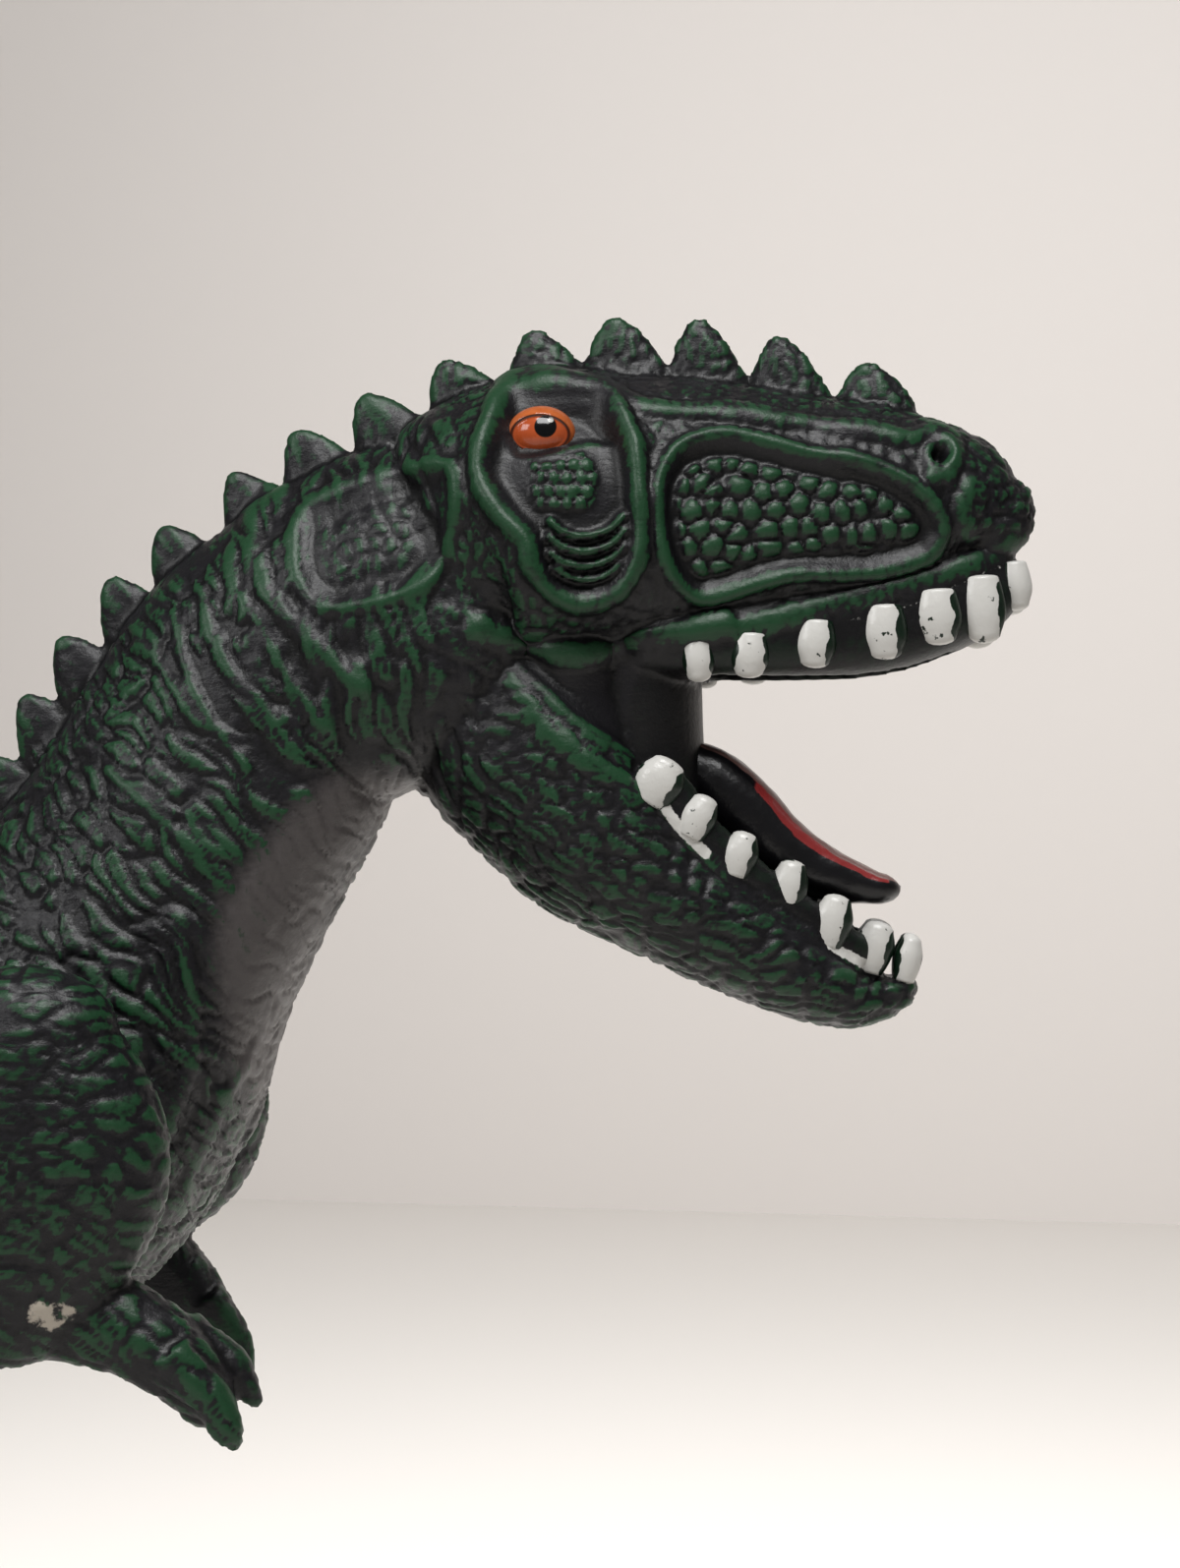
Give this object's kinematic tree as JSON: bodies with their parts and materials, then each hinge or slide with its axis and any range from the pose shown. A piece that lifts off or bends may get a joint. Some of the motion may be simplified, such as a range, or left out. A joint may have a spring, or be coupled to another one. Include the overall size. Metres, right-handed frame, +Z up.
{
  "type": "toy theropod dinosaur figure",
  "caption": "Jumbo soft vinyl theropod figure with an open toothed mouth, a spined back, swivelling arms and legs, and a tail that props it upright.",
  "frame": {"origin": "on the floor, at the middle of the figure's length and width", "axes": "+X where the snout points, +Y to the figure's left, +Z up"},
  "size_m": [0.5668, 0.1502, 0.3738],
  "materials": {
    "skin": "satin soft vinyl, charcoal with dry-brushed green",
    "tongue": "satin painted vinyl",
    "fibre": "packed white polyester fibre",
    "hard_plastic": "plain unpainted plastic"
  },
  "bodies": {
    "trunk": {"trunk_skin": "skin", "trunk_filling": "fibre", "belly_plug": "hard_plastic", "tongue": "tongue", "tail_skin": "skin", "shoulder_washer_right": "hard_plastic", "hip_washer_right": "hard_plastic", "shoulder_washer_left": "hard_plastic", "hip_washer_left": "hard_plastic"},
    "arm_right": {"arm_right": "skin", "shoulder_stud_right": "hard_plastic", "shoulder_lock_right": "hard_plastic"},
    "leg_right": {"leg_right": "skin", "hip_stud_right": "hard_plastic", "hip_lock_right": "hard_plastic"},
    "arm_left": {"arm_left": "skin", "shoulder_stud_left": "hard_plastic", "shoulder_lock_left": "hard_plastic"},
    "leg_left": {"leg_left": "skin", "hip_stud_left": "hard_plastic", "hip_lock_left": "hard_plastic"}
  },
  "joints": [
    {"name": "shoulder_right", "type": "hinge", "parent": "trunk", "child": "arm_right", "pos_m": [0.10551, 0, 0.22618], "axis": [0, -1, 0], "range_deg": [-20, 60]},
    {"name": "hip_right", "type": "hinge", "parent": "trunk", "child": "leg_right", "pos_m": [0.02255, 0, 0.19381], "axis": [0, -1, 0], "range_deg": [-20, 20]},
    {"name": "shoulder_left", "type": "hinge", "parent": "trunk", "child": "arm_left", "pos_m": [0.10551, 0, 0.22618], "axis": [0, -1, 0], "range_deg": [-20, 60]},
    {"name": "hip_left", "type": "hinge", "parent": "trunk", "child": "leg_left", "pos_m": [0.02255, 0, 0.19381], "axis": [0, -1, 0], "range_deg": [-20, 20]}
  ]
}
